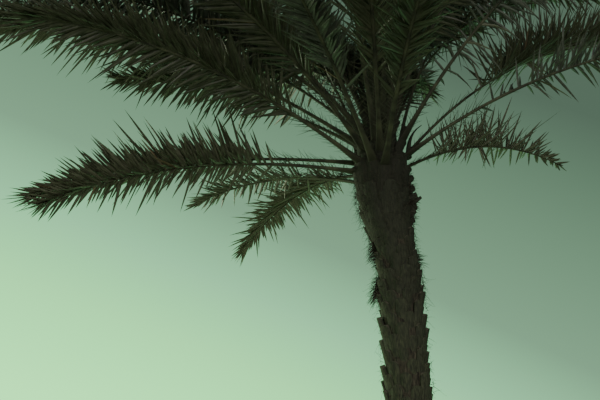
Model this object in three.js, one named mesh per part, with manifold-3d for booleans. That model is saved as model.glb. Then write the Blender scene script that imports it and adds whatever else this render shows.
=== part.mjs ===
// A grown date palm that stands in the ground: one trunk in its coat of old leaf bases,
// and a crown of feather leaves, called fronds, round the growing point at its head.
// Millimetres and degrees. +Z is up, and the origin is in the middle of the flat foot.
// Azimuth 0 is +X and 90 is +Y, so 270 is the side from which the palm is seen.
import * as THREE from "three";
import Module from "manifold-3d";

const wasm = await Module();
wasm.setup();

const { clamp, degToRad, lerp, smoothstep } = THREE.MathUtils;

// Trunk: height above the ground and radius over the leaf bases, from the root flare to the tip
const TRUNK_OUTLINE = [
  [0, 430], [150, 370], [320, 328], [700, 290], [1500, 262], [3500, 250], [4600, 242],
  [4950, 248], [5150, 275], [5400, 312], [5750, 305], [6050, 255], [6300, 185], [6650, 90],
];
const LEAN_START = 4500;
const LEAN_END = 5500;
const LEAN = -85;
const BOW = 30;

// Old leaf bases, called boots, set like tiles on a diamond lattice: each juts out at its cut
// upper end, some a little more than others, and slopes in below
const BOOTS_ROUND = 7;
const ROUND = 2 * BOOTS_ROUND;
const BOOT_PITCH = 240;
const BOOT_DEPTH = 55;
const BOOT_UNEVEN = 12;
const BOOT_LIFT = 28;
const BOOTS_FROM = 320;
const BOOTS_TO = 5600;

// Above the boots the head is plain, and the feet of the fronds cover it
const HEAD_ROWS = 6;
const HEAD_TIP = 90;

// Fronds: the stalk's foot, wide as a share of the trunk's radius there, and then its width and
// thickness where the blade starts and at the tip
const FOOT_WIDTH = 0.22;
const STALK_FOOT_THICKNESS = 38;
const STALK_BLADE = [50, 38];
const STALK_TIP = [14, 10];
const FOOT_SINK = 40;
const BLADE_START = 0.25;
const STALK_STATIONS = 4;
const BLADE_STATIONS = 18;
const BEND_POWER = 1.3;

// How far a blade may turn on its stalk by the tip
const TWIST = 34;

// Leaflets, each larger than life and standing for several. They lean forward, more so near the
// tip, and stand by turns above and below the blade. One that would touch another frond is
// shorter, or is left out.
const LEAFLET_LENGTH = 560;
const LEAFLET_SWEEP = [70, 30];
const SWEEP_POWER = 4;
const LEAFLET_RAISE = [42, -16];
const LEAFLET_DROOP = 0.1;
const LONGEST_AT = 0.4;
const FIRST_SHARE = 0.7;
const LAST_SHARE = 0.75;
const END_LEAFLET = 380;
const SHORTER = [1, 0.7, 0.45];
const CLEARANCE = 2;
const PARALLEL = 1e-6;

// Gap between a frond's foot and the trunk that carries it
const SEAT_GAP = 0.4;

// Fronds set by hand: azimuth, root height, rise, bend, sweep and length
const SET_FRONDS = [
  [181, 5910, 5, 33, 6.5, 3600],
  [190, 5770, 2.5, 36.5, 3, 3400],
  [135, 5760, 30, 29, 2, 3300],
  [118, 5880, 29.5, 51, 5, 3450],
  [176, 6120, 35.5, 35, 5, 3220],
  [198, 6090, 28.5, 53, 0, 4950],
  [206, 6300, 32, 57, -2, 4300],
  [213, 6170, 40, 44, 0, 4300],
  [167, 6270, 52, 44, 1, 4000],
  [197, 6420, 68, 37, 0, 4000],
  [326, 6030, 53.5, 40, 0, 3950],
  [316, 6290, 64, 60, 5, 3800],
  [4, 5950, 52, 41, 7, 3950],
  [341, 5920, 31.5, 48, 2, 3950],
  [8, 6300, 71, 68, 0, 4400],
  [30, 5880, 38, 41.5, 3, 3260],
];

// The rest of the crown follows the growth of the palm: each frond stands a golden angle on
// from the one before, a little higher and steeper. A few have been shed.
const GROWN_FRONDS = 72;
const GOLDEN_ANGLE = 137.508;
const FOOT_ROOM = 132;
const SHED_FRONDS = [0, 3, 5, 6, 10, 18, 30, 42, 45];
const ROOTS = [5660, 6540];
const RISES = [8, 82];
const RISE_POWER = 0.9;
const BENDS = [36, 54];
const LENGTHS = [3850, 4200];

// How far each frond may differ from the rule, and the stride that spreads the differences
const UNLIKE = {
  azimuth: { by: 6, stride: 0.5698 },
  rise: { by: 4, stride: 0.7549 },
  bend: { by: 8, stride: 0.618 },
  sweep: { by: 8, stride: 0.8192 },
  length: { by: 250, stride: 0.6711 },
  twist: { by: TWIST, stride: 0.4142 },
  boot: { by: BOOT_UNEVEN, stride: 0.7321 },
};

// Towards this azimuth the lowest fronds are gone, and the crown's skirt is held up. The change
// from the other side is gradual, between these cosines of the angle away from it.
const OPEN_SIDE = 75;
const OPENING = [-0.3, 0.3];
const HELD_UP = 72;
const HELD_BEND = 8;

// The young leaf in the middle, still folded shut
const SPEAR = { azimuth: 120, root: 6600, rise: 87, bend: 5, sweep: 0, length: 2100, folded: true };

/** How far number index of its kind differs from the rule, either way. */
function unlike(kind, index) {
  const { by, stride } = UNLIKE[kind];
  return by * (2 * ((index * stride) % 1) - 1);
}

function trunkRadius(height) {
  let [low, radius] = TRUNK_OUTLINE[0];
  for (const [high, next] of TRUNK_OUTLINE) {
    if (height <= high) {
      return high === low ? next : lerp(radius, next, (height - low) / (high - low));
    }
    [low, radius] = [high, next];
  }
  return radius;
}

/** How far the middle of the trunk stands to the right of its foot. */
function trunkShift(height) {
  const bow = BOW * Math.sin(Math.PI * clamp(height / LEAN_START, 0, 1) / 2);
  return bow + (LEAN - BOW) * smoothstep(height, LEAN_START, LEAN_END);
}

/** How high the rings of the trunk stand, and which of them have boots that jut out. */
function trunkRings() {
  const bootRows = Math.round((2 * (BOOTS_TO - BOOTS_FROM)) / BOOT_PITCH);
  const top = TRUNK_OUTLINE.at(-1)[0];
  const rings = [{ height: 0, booted: false }, { height: BOOTS_FROM / 2, booted: false }];
  for (let row = 0; row < bootRows; row++) {
    rings.push({ height: lerp(BOOTS_FROM, BOOTS_TO, row / bootRows), booted: true });
  }
  for (let row = 0; row <= HEAD_ROWS; row++) {
    rings.push({ height: lerp(BOOTS_TO, top, row / HEAD_ROWS), booted: false });
  }
  return rings;
}

/** One ring of the trunk, where every other point of a booted ring lies in between two boots. */
function trunkRing({ height, booted }, row, grow) {
  const points = [];
  for (let i = 0; i < ROUND; i++) {
    const juts = booted && (row + i) % 2 === 0;
    const relief = juts ? unlike("boot", row * ROUND + i) : -BOOT_DEPTH;
    const radius = trunkRadius(height) + grow + (booted ? relief : 0);
    const turn = (2 * Math.PI * i) / ROUND;
    points.push([
      trunkShift(height) + radius * Math.cos(turn),
      radius * Math.sin(turn),
      height + (juts ? BOOT_LIFT : 0),
    ]);
  }
  return points;
}

/** The trunk's skin, its slanting edges laid along the low places between the boots. */
function trunkSolid(grow) {
  const rings = trunkRings();
  const points = rings.flatMap((ring, row) => trunkRing(ring, row, grow));
  const { height } = rings.at(-1);
  const foot = points.push([0, 0, 0]) - 1;
  const tip = points.push([trunkShift(height), 0, height + HEAD_TIP + grow]) - 1;
  const last = (rings.length - 1) * ROUND;
  const faces = [];
  for (let i = 0; i < ROUND; i++) {
    const next = (i + 1) % ROUND;
    faces.push([foot, next, i], [tip, last + i, last + next]);
    for (let row = 0; row < rings.length - 1; row++) {
      const [a, b] = [row * ROUND + i, row * ROUND + next];
      const [c, d] = [b + ROUND, a + ROUND];
      faces.push(...((row + i) % 2 === 0 ? [[a, b, d], [b, c, d]] : [[a, b, c], [a, c, d]]));
    }
  }
  return { points, faces };
}

/** Every frond of the crown: the ones set by hand, and the grown ones that keep clear of them. */
function crownFronds() {
  const named = ([azimuth, root, rise, bend, sweep, length]) => ({
    azimuth, root, rise, bend, sweep, length,
  });
  const fronds = SET_FRONDS.map(named);
  const grown = [];
  for (let i = 0; i < GROWN_FRONDS; i++) {
    if (SHED_FRONDS.includes(i)) continue;
    const age = (i + 0.5) / GROWN_FRONDS;
    const swell = Math.sin(Math.PI * age);
    const azimuth = (i * GOLDEN_ANGLE + unlike("azimuth", i)) % 360;
    const open = smoothstep(Math.cos(degToRad(azimuth - OPEN_SIDE)), ...OPENING);
    grown.push({
      azimuth,
      root: lerp(...ROOTS, age),
      rise: lerp(RISES[0] + HELD_UP * open, RISES[1], age ** RISE_POWER) + unlike("rise", i),
      bend: lerp(...BENDS, swell) + HELD_BEND * open + unlike("bend", i),
      sweep: unlike("sweep", i),
      length: lerp(...LENGTHS, swell) + unlike("length", i),
    });
  }
  const free = grown.filter((frond) => fronds.every((set) =>
    footOf(frond).distanceTo(footOf(set)) > FOOT_ROOM));
  return [...fronds, ...free, SPEAR];
}

/** Where a frond's stalk leaves the head of the trunk. */
function footOf({ azimuth, root }) {
  const turn = degToRad(azimuth);
  const reach = trunkRadius(root);
  return new THREE.Vector3(trunkShift(root) + reach * Math.cos(turn), reach * Math.sin(turn), root);
}

/** Where a frond's stalk runs: a point, its way forward, its side and its upper side. */
function stationsOf(frond, index) {
  const azimuth = degToRad(frond.azimuth);
  const reach = trunkRadius(frond.root) - FOOT_SINK;
  const place = new THREE.Vector3(
    trunkShift(frond.root) + reach * Math.cos(azimuth),
    reach * Math.sin(azimuth),
    frond.root,
  );
  const shares = [];
  for (let i = 0; i < STALK_STATIONS; i++) shares.push((BLADE_START * i) / STALK_STATIONS);
  for (let i = 0; i < BLADE_STATIONS; i++) shares.push(lerp(BLADE_START, 1, i / BLADE_STATIONS));
  shares.push(1);
  const twist = degToRad(unlike("twist", index));
  return shares.map((share, i) => {
    if (i > 0) {
      const step = share - shares[i - 1];
      place.addScaledVector(headingOf(frond, share - step / 2), step * frond.length);
    }
    const forward = headingOf(frond, share);
    const turn = azimuth + degToRad(frond.sweep) * share ** BEND_POWER;
    const side = new THREE.Vector3(-Math.sin(turn), Math.cos(turn), 0);
    side.applyAxisAngle(forward, twist * share);
    const upper = new THREE.Vector3().crossVectors(forward, side);
    return { share, place: place.clone(), forward, side, upper };
  });
}

function headingOf(frond, share) {
  const rise = degToRad(frond.rise - frond.bend * share ** BEND_POWER);
  const turn = degToRad(frond.azimuth + frond.sweep * share ** BEND_POWER);
  return new THREE.Vector3(
    Math.cos(rise) * Math.cos(turn),
    Math.cos(rise) * Math.sin(turn),
    Math.sin(rise),
  );
}

/** Width and thickness of a stalk at a share of its length, its foot as wide as the head has room. */
function stalkSize(frond, share) {
  if (share < BLADE_START) {
    const run = 1 - (1 - share / BLADE_START) ** 2;
    const foot = [FOOT_WIDTH * trunkRadius(frond.root), STALK_FOOT_THICKNESS];
    return foot.map((size, i) => lerp(size, STALK_BLADE[i], run));
  }
  const run = (share - BLADE_START) / (1 - BLADE_START);
  return STALK_BLADE.map((size, i) => lerp(size, STALK_TIP[i], run));
}

function ringAt(frond, { share, place, side, upper }) {
  const [width, thickness] = stalkSize(frond, share);
  const corners = [[1, 1], [-1, 1], [-1, -1], [1, -1]];
  return corners.map(([across, up]) => place.clone()
    .addScaledVector(side, (across * width) / 2)
    .addScaledVector(upper, (up * thickness) / 2));
}

/** A leaflet's length as a share of the longest, at a share of the blade. */
function leafletSwell(run) {
  return run < LONGEST_AT
    ? lerp(FIRST_SHARE, 1, run / LONGEST_AT)
    : lerp(1, LAST_SHARE, smoothstep(run, LONGEST_AT, 1));
}

/** The point of a leaflet that stands on the side of a stalk, towards its tip. */
function leafletTip(stations, i, hand, scale) {
  const [from, to] = [stations[i], stations[i + 1]];
  const share = (from.share + to.share) / 2;
  const run = (share - BLADE_START) / (1 - BLADE_START);
  const length = LEAFLET_LENGTH * leafletSwell(run) * scale;
  const sweep = degToRad(lerp(...LEAFLET_SWEEP, run ** SWEEP_POWER));
  const raise = degToRad(LEAFLET_RAISE[i % 2]);
  const tip = new THREE.Vector3().addVectors(from.place, to.place).multiplyScalar(0.5);
  tip.addScaledVector(from.forward, length * Math.cos(sweep));
  tip.addScaledVector(from.side, hand * length * Math.sin(sweep) * Math.cos(raise));
  tip.addScaledVector(from.upper, length * Math.sin(sweep) * Math.sin(raise));
  tip.z -= LEAFLET_DROOP * length;
  return tip;
}

/** A convex solid made ready for the test of whether two of them are clear of each other. */
function convex(corners, faces, edges) {
  const arrow = (a, b) => new THREE.Vector3().subVectors(corners[b], corners[a]);
  const normals = faces.map(([a, b, c]) => arrow(a, b).cross(arrow(a, c)).normalize());
  const middle = corners.reduce((sum, p) => sum.add(p), new THREE.Vector3());
  middle.divideScalar(corners.length);
  const radius = Math.max(...corners.map((p) => p.distanceTo(middle)));
  return { corners, normals, edges: edges.map(([a, b]) => arrow(a, b).normalize()), middle, radius };
}

function spike(a, b, c, d, tip) {
  const faces = [[0, 1, 2], [0, 1, 4], [1, 2, 4], [2, 3, 4], [3, 0, 4]];
  const edges = [[0, 1], [1, 2], [2, 3], [3, 0], [0, 4], [1, 4], [2, 4], [3, 4]];
  return convex([a, b, c, d, tip], faces, edges);
}

function block(near, far) {
  const faces = [[0, 1, 5], [1, 2, 6], [2, 3, 7], [3, 0, 4], [0, 1, 2], [4, 5, 6]];
  const edges = [[0, 1], [1, 2], [0, 4], [1, 5], [2, 6], [3, 7]];
  return convex([...near, ...far], faces, edges);
}

/** Whether some plane lies between two convex solids with the clearance to spare. */
function areClear(one, two) {
  if (one.middle.distanceTo(two.middle) > one.radius + two.radius + CLEARANCE) return true;
  const crosses = one.edges.flatMap((a) =>
    two.edges.map((b) => new THREE.Vector3().crossVectors(a, b)));
  const skew = crosses.filter((cross) => cross.lengthSq() > PARALLEL);
  const axes = [...one.normals, ...two.normals, ...skew.map((cross) => cross.normalize())];
  return axes.some((axis) => {
    const first = one.corners.map((p) => p.dot(axis));
    const second = two.corners.map((p) => p.dot(axis));
    return Math.min(...first) - Math.max(...second) > CLEARANCE
      || Math.min(...second) - Math.max(...first) > CLEARANCE;
  });
}

/** A frond's stalk, whose leaflets are still to be found. */
function bareBlade(frond, index) {
  const stations = stationsOf(frond, index);
  const rings = stations.map((station) => ringAt(frond, station));
  const blocks = rings.slice(1).map((ring, i) => block(rings[i], ring));
  return { folded: frond.folded, stations, rings, blocks, leaflets: [], tips: new Map() };
}

/** Gives a blade the longest leaflet that keeps clear of the others there, or none. */
function growLeaflet(blade, others, i, hand) {
  const [near, far] = [blade.rings[i], blade.rings[i + 1]];
  const [a, b] = hand > 0 ? [3, 0] : [1, 2];
  for (const scale of SHORTER) {
    const tip = leafletTip(blade.stations, i, hand, scale);
    const leaflet = spike(near[a], near[b], far[b], far[a], tip);
    const free = others.every(({ blocks, leaflets }) =>
      [...blocks, ...leaflets].every((piece) => areClear(leaflet, piece)));
    if (free) {
      blade.leaflets.push(leaflet);
      blade.tips.set(`${i} ${hand}`, tip);
      return;
    }
  }
}

/** Every frond with its stalk and leaflets, which all grow outwards together. */
function leafedFronds(fronds) {
  const blades = fronds.map(bareBlade);
  for (let i = STALK_STATIONS; i < STALK_STATIONS + BLADE_STATIONS; i++) {
    for (const hand of [1, -1]) {
      for (const blade of blades.filter(({ folded }) => !folded)) {
        growLeaflet(blade, blades.filter((other) => other !== blade), i, hand);
      }
    }
  }
  return blades;
}

/** One closed skin over a stalk and its leaflets, which stand on its left, 1, and right, -1. */
function frondSolid({ rings, stations, tips }) {
  const points = rings.flat();
  const faces = [[0, 3, 2], [0, 2, 1]];
  const edges = [[0, 1, 0], [1, 2, -1], [2, 3, 0], [3, 0, 1]];
  for (let i = 0; i < rings.length - 1; i++) {
    for (const [a, b, hand] of edges) {
      const corners = [4 * i + a, 4 * i + b, 4 * i + 4 + b, 4 * i + 4 + a];
      const tip = tips.get(`${i} ${hand}`);
      if (tip) {
        const point = points.push(tip) - 1;
        corners.forEach((corner, k) => faces.push([corner, corners[(k + 1) % 4], point]));
      } else {
        faces.push([corners[0], corners[1], corners[2]], [corners[0], corners[2], corners[3]]);
      }
    }
  }
  const end = stations.at(-1);
  const last = 4 * (rings.length - 1);
  const point = points.push(end.place.clone().addScaledVector(end.forward, END_LEAFLET)) - 1;
  for (const [a, b] of edges) faces.push([last + a, last + b, point]);
  return { points: points.map((p) => p.toArray()), faces };
}

function toManifold({ points, faces }) {
  return new wasm.Manifold(new wasm.Mesh({
    numProp: 3,
    vertProperties: new Float32Array(points.flat()),
    triVerts: new Uint32Array(faces.flat()),
  }));
}

function toMesh(manifold, name, colour) {
  const { numProp, vertProperties, triVerts } = manifold.getMesh();
  const geometry = new THREE.BufferGeometry();
  geometry.setAttribute("position", new THREE.BufferAttribute(vertProperties, numProp));
  geometry.setIndex(new THREE.BufferAttribute(triVerts, 1));
  geometry.computeVertexNormals();
  const material = new THREE.MeshStandardMaterial({ color: colour, roughness: 0.8, metalness: 0 });
  const mesh = new THREE.Mesh(geometry, material);
  mesh.name = name;
  return mesh;
}

const BARK = 0x4a4030;
const LEAF = 0x4d5a3a;
const palm = new THREE.Group();
palm.add(toMesh(toManifold(trunkSolid(0)), "trunk", BARK));
const socket = toManifold(trunkSolid(SEAT_GAP));
leafedFronds(crownFronds()).forEach((blade, i) => {
  const name = blade.folded ? "spear_leaf" : `frond_${String(i + 1).padStart(2, "0")}`;
  palm.add(toMesh(toManifold(frondSolid(blade)).subtract(socket), name, LEAF));
});

export default palm;
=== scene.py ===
# %% [markdown]
# A grown date palm, seen from the ground beside it: a trunk in its coat of cut leaf bases, and a
# round crown of feather leaves, called fronds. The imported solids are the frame. Every piece here
# stands where its solid stands and is carried to finer detail: real leaf bases with fibre between
# them, stalks with spines, and narrow folded leaflets in place of a toothed blade. Everything is
# in metres and degrees, +Z up, with the origin in the middle of the trunk's foot.

import math
from collections import namedtuple

import bmesh
import bpy
import numpy as np
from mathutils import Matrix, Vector, noise


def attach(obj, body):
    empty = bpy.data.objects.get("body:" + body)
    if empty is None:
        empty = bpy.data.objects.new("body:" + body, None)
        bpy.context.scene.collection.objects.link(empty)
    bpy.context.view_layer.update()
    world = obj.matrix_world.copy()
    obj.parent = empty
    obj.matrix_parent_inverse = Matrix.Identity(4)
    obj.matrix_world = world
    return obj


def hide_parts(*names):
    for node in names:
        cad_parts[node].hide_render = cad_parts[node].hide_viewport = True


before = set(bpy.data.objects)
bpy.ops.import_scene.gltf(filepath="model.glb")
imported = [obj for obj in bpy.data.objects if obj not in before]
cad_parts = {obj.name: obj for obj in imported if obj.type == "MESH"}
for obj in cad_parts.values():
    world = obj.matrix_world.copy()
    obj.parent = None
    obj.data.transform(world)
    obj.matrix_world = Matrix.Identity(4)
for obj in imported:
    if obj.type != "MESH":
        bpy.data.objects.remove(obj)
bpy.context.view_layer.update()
NODES = sorted(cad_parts)
FROND_NODES = [name for name in NODES if name.startswith("frond")]
print(len(NODES), "solids, of them", len(FROND_NODES), "fronds")

# %% [markdown]
# Colours are written as the hex values a paint program shows, and turned to the linear light
# values that the renderer works in by one function. Each of the other functions adds one kind of
# node to a material, with its settings and its links, so that a material reads as a short list.

# %% Colour and node helpers
def linear(hex_colour):
    """An sRGB hex colour as linear red, green, blue and alpha."""
    parts = [int(hex_colour[i:i + 2], 16) / 255 for i in (1, 3, 5)]
    light = [c / 12.92 if c <= 0.04045 else ((c + 0.055) / 1.055) ** 2.4 for c in parts]
    return (*light, 1)


def add(tree, kind, inputs=None, **settings):
    """Adds a node. Each input is a plain value, or another node's output to link."""
    made = tree.nodes.new(kind)
    for name, value in settings.items():
        setattr(made, name, value)
    for name, value in (inputs or {}).items():
        if isinstance(value, bpy.types.NodeSocket):
            tree.links.new(value, made.inputs[name])
        else:
            made.inputs[name].default_value = value
    return made


def blank(name):
    """A new material with an empty node tree."""
    material = bpy.data.materials.new(name)
    material.use_nodes = True
    material.node_tree.nodes.clear()
    return material


def started(name):
    """A new material, its node tree, and the place of a point on the piece that wears it."""
    material = blank(name)
    tree = material.node_tree
    return material, tree, add(tree, "ShaderNodeTexCoord").outputs["Object"]


def toned(tree, share, tones):
    """Colours along a share, from a list of places on it and their hex colours."""
    ramp = add(tree, "ShaderNodeValToRGB", {"Fac": share})
    stops = ramp.color_ramp.elements
    for _ in tones[2:]:
        stops.new(1)
    for stop, (position, colour) in zip(stops, tones):
        stop.position = position
        stop.color = linear(colour)
    return ramp.outputs["Color"]


def mixed(tree, share, first, second):
    """The first colour, turned into the second by a share."""
    mix = add(tree, "ShaderNodeMix", {"Factor": share, "A": first, "B": second},
              data_type="RGBA", blend_type="MIX")
    return mix.outputs["Result"]


def mapped(tree, value, low, high, top=1):
    """A share that grows from 0 to its top while a value goes from low to high."""
    share = add(tree, "ShaderNodeMapRange", {
        "Value": value, "From Min": low, "From Max": high, "To Max": top,
    })
    return share.outputs["Result"]


def clouded(tree, place, scale, detail):
    """Soft noise from 0 to 1, in cells to the metre."""
    cloud = add(tree, "ShaderNodeTexNoise", {"Vector": place, "Scale": scale, "Detail": detail})
    return cloud.outputs["Fac"]


def relief(tree, height, depth):
    """How a surface faces when a height is drawn into it, so many metres deep."""
    bump = add(tree, "ShaderNodeBump", {"Height": height, "Distance": depth})
    return bump.outputs["Normal"]


def finish_with(tree, specular, **inputs):
    """Closes a material with the shader that the inputs describe."""
    names = {name.replace("_", " ").title(): value for name, value in inputs.items()}
    names["Specular IOR Level"] = specular
    shader = add(tree, "ShaderNodeBsdfPrincipled", names)
    add(tree, "ShaderNodeOutputMaterial", {"Surface": shader.outputs["BSDF"]})


print("a grey of half the hex range is", round(linear("#808080")[0], 3), "in linear light")

# %% [markdown]
# The camera stands at eye height and looks 30 degrees up into the crown, as in the picture. Its
# lens gives 700 pixels of focal length over a picture 600 pixels wide. The floor is plain and
# pale, and so is the world round it, with a breath of green as in the picture's sky. A large
# soft light stands behind the palm on the left, where the picture is brightest, and a wider one
# far off in front keeps the underside of the crown readable.

# %% Camera, floor and light
PICTURE_WIDTH = 600
FOCAL_PIXELS = 700
SENSOR = 36
EYE = (-0.995, -6.64, 1.6)
LOOK_UP = 30

camera_data = bpy.data.cameras.new("camera")
camera_data.sensor_width = SENSOR
camera_data.lens = SENSOR * FOCAL_PIXELS / PICTURE_WIDTH
camera = bpy.data.objects.new("camera", camera_data)
camera.location = EYE
camera.rotation_euler = (math.radians(90 + LOOK_UP), 0, 0)
bpy.context.scene.collection.objects.link(camera)
bpy.context.scene.camera = camera

BRIGHT_SIDE = (-0.4, 0.46, -0.79)
DIM_END, BRIGHT_END = -0.25, 0.38
SURROUND_TONES = [
    (0, "#3e5043"), (0.48, "#5f8367"), (0.64, "#75b283"), (0.8, "#86dc8d"), (1, "#97ff9b"),
]
SURROUND_STRENGTH = 2


def soft_surround():
    """A plain surround that pales softly towards its bright side."""
    world = bpy.data.worlds.new("pale_surround")
    world.use_nodes = True
    tree = world.node_tree
    way = add(tree, "ShaderNodeTexCoord").outputs["Generated"]
    towards = add(tree, "ShaderNodeVectorMath", {0: way, 1: BRIGHT_SIDE}, operation="DOT_PRODUCT")
    share = mapped(tree, towards.outputs["Value"], DIM_END, BRIGHT_END)
    background = tree.nodes["Background"]
    tree.links.new(toned(tree, share, SURROUND_TONES), background.inputs["Color"])
    background.inputs["Strength"].default_value = SURROUND_STRENGTH
    return world


bpy.context.scene.world = soft_surround()


def soft_light(name, place, target, width, watts, colour):
    """A square soft light at a place, turned to its target."""
    data = bpy.data.lights.new(name, "AREA")
    data.size = width
    data.energy = watts
    data.color = linear(colour)[:3]
    light = bpy.data.objects.new(name, data)
    light.location = place
    light.rotation_euler = (Vector(target) - Vector(place)).to_track_quat("-Z", "Y").to_euler()
    light.visible_camera = False
    bpy.context.scene.collection.objects.link(light)


CROWN_MIDDLE = (0, 0, 6.5)
SOFT_LIGHTS = [
    # name, place, width, watts and colour
    ("back_left_softbox", (-14, 12, 9), 8, 2200, "#fff6dc"),
    ("front_fill", (1, -17, 4.5), 12, 2300, "#fbeef6"),
]
for name, place, width, watts, colour in SOFT_LIGHTS:
    soft_light(name, place, CROWN_MIDDLE, width, watts, colour)

FLOOR_WIDTH = 90
FLOOR_SIDES = 64
floor_form = bmesh.new()
bmesh.ops.create_circle(floor_form, cap_ends=True, segments=FLOOR_SIDES, radius=FLOOR_WIDTH / 2)
floor_mesh = bpy.data.meshes.new("floor")
floor_form.to_mesh(floor_mesh)
floor = bpy.data.objects.new("floor", floor_mesh)
bpy.context.scene.collection.objects.link(floor)
pale = blank("pale floor paint")
finish_with(pale.node_tree, specular=0.3, base_color=linear("#dcdfd6"), roughness=0.9)
floor_mesh.materials.append(pale)
print("camera, floor and two soft lights")

# %% [markdown]
# A palm is thousands of like pieces, so each kind is modelled once as a template in unit sizes.
# Its corners are then laid out for every copy with arrays and joined into one mesh. That keeps
# the scene light and quick, and each copy can still bend and differ.

# %% Joined copies of a template
ON_TRUNK = {"slot": "leaf_base_bark", "nodes": ["trunk"]}


def joined(name, template, places, materials, smooth=False, slot="frond_leaf", nodes=()):
    """Shows one mesh of many copies of a template, with corners at places[copy, corner]."""
    copies, corners = places.shape[:2]
    template.verts.index_update()
    faces = [[v.index for v in face.verts] for face in template.faces]
    sizes = np.array([len(face) for face in faces])
    starts = np.concatenate([[0], np.cumsum(sizes)[:-1]])
    flat = np.concatenate(faces)
    steps = np.arange(copies)[:, None]
    mesh = bpy.data.meshes.new(name)
    mesh.vertices.add(copies * corners)
    mesh.vertices.foreach_set("co", places.astype(np.float32).ravel())
    mesh.loops.add(copies * len(flat))
    mesh.loops.foreach_set("vertex_index", (flat + steps * corners).ravel())
    mesh.polygons.add(copies * len(faces))
    mesh.polygons.foreach_set("loop_start", (starts + steps * len(flat)).ravel())
    mesh.polygons.foreach_set("use_smooth", np.full(copies * len(faces), smooth))
    kinds = [face.material_index for face in template.faces]
    mesh.polygons.foreach_set("material_index", np.tile(kinds, copies))
    mesh.update(calc_edges=True)
    placed(name, mesh, materials, slot, nodes)


def placed(name, mesh, materials, slot, nodes):
    """Shows a finished mesh on the tree's one body, in place of the nodes it stands for."""
    for material in materials:
        mesh.materials.append(material)
    piece = bpy.data.objects.new(name, mesh)
    bpy.context.scene.collection.objects.link(piece)
    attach(piece, "root")
    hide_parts(*nodes)
    triangles = sum(len(face.vertices) - 2 for face in mesh.polygons)
    print(f"{name}: {triangles} triangles")


def corners_of(template):
    """A template's corners as an array."""
    return np.array([v.co for v in template.verts])


def unit(vectors):
    """Vectors of length one, along the last axis."""
    return vectors / np.linalg.norm(vectors, axis=-1, keepdims=True)


def lerp(pair, share):
    """The value at a share of the way between the two of a pair."""
    return pair[0] + (pair[1] - pair[0]) * share


def laid(template, base, run, across, over):
    """Corners of copies that stand at their bases, each with its own length, width and depth."""
    x, y, z = corners_of(template).T[..., None]
    return base[:, None] + z * run[:, None] + x * across[:, None] + y * over[:, None]


# %% [markdown]
# The trunk's outline gives its radius over the leaf bases at each height: a root flare, a long
# even bole and the wider head that carries the crown. It leans a little near the top, as the
# picture shows. These are the same values that the solid was made from.

# %% The trunk's outline
OUTLINE_HEIGHTS = [0, 0.15, 0.32, 0.7, 1.5, 3.5, 4.6, 4.95, 5.15, 5.4, 5.75, 6.05, 6.3, 6.65]
OUTLINE_RADII = [
    0.43, 0.37, 0.328, 0.29, 0.262, 0.25, 0.242, 0.248, 0.275, 0.312, 0.305, 0.255, 0.185, 0.09,
]
TRUNK_TIP = 6.74
LEAN_START, LEAN_END = 4.5, 5.5
LEAN = -0.085
BOW = 0.03


def smoothstep(x, low, high):
    """0 below low, 1 above high, and an even change in between."""
    t = np.clip((x - low) / (high - low), 0, 1)
    return t * t * (3 - 2 * t)


def trunk_radius(height):
    """Radius over the leaf bases at a height."""
    return np.interp(height, OUTLINE_HEIGHTS, OUTLINE_RADII)


def trunk_shift(height):
    """How far the trunk's middle stands to the right of its foot."""
    bow = BOW * np.sin(np.pi / 2 * np.clip(np.asarray(height) / LEAN_START, 0, 1))
    return bow + (LEAN - BOW) * smoothstep(height, LEAN_START, LEAN_END)


def round_trunk(turn, out, level):
    """Places at a turn round the middle of the trunk, so far out from it, at a level."""
    middle = trunk_shift(level)
    return np.stack([middle + out * np.cos(turn), out * np.sin(turn), level], axis=-1)


print("trunk radius at eye height", round(float(trunk_radius(EYE[2])), 3))

# %% [markdown]
# Fibre of the leaf sheaths is what shows between the leaf bases: a dry brown web of coarse
# threads, laid crosswise like sacking. It is dull, so it is rough all over, and its threads are
# drawn as fine stretched noise that also gives the relief. Real threads are half a millimetre
# thick, too fine to show here, so they are drawn 4 to 8 mm wide.

# %% Material of the sheath fibre
THREAD = 0.004
WEB_TILTS = (35, -35)
WEB_STRETCH = (1, 1, 0.12)
FIBRE_TONES = [(0.42, "#1f1e18"), (0.68, "#474536")]


def fibre_material():
    """Dry brown sheath fibre with crossing threads."""
    material, tree, place = started("dry palm sheath fibre")
    webs = []
    for tilt in WEB_TILTS:
        turned = add(tree, "ShaderNodeMapping", {
            "Vector": place, "Rotation": (0, math.radians(tilt), 0), "Scale": WEB_STRETCH,
        })
        webs.append(clouded(tree, turned.outputs["Vector"], scale=0.25 / THREAD, detail=3))
    both = add(tree, "ShaderNodeMath", {0: webs[0], 1: webs[1]}, operation="MAXIMUM")
    height = both.outputs["Value"]
    finish_with(tree, specular=0.2, base_color=toned(tree, height, FIBRE_TONES), roughness=0.95,
                normal=relief(tree, height, THREAD))
    return material


FIBRE = fibre_material()
print(f"{FIBRE.name}: relief {THREAD * 1000:.0f} mm deep")

# %% [markdown]
# Under the leaf bases stands the bole itself, wrapped in that fibre. Its outline is spun round
# the axis, sunk by the depth that the leaf bases stand out, then roughened and shifted to follow
# the lean. Below the lowest leaf bases it spreads into the root flare, and a centre corner closes
# it at the foot and at the tip. Its faces are put in one order, so that every run makes the same
# mesh.

# %% The bole
BOOT_DEPTH = 0.055
BOOTS_FROM, BOOTS_TO = 0.32, 5.6
COAT_START = (0.1, BOOTS_FROM)
COAT_END = (6.1, 6.6)
BOLE_SIDES = 72
BOLE_STEP = 0.045
BOLE_ROUGHNESS = 0.012
ROUGH_OFF_AXIS, ROUGH_OFF_FLOOR = 0.01, 0.001
LUMPS_TO_THE_METRE = 9
LUMP_FRACTAL = (1, 2, 4)


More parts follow.
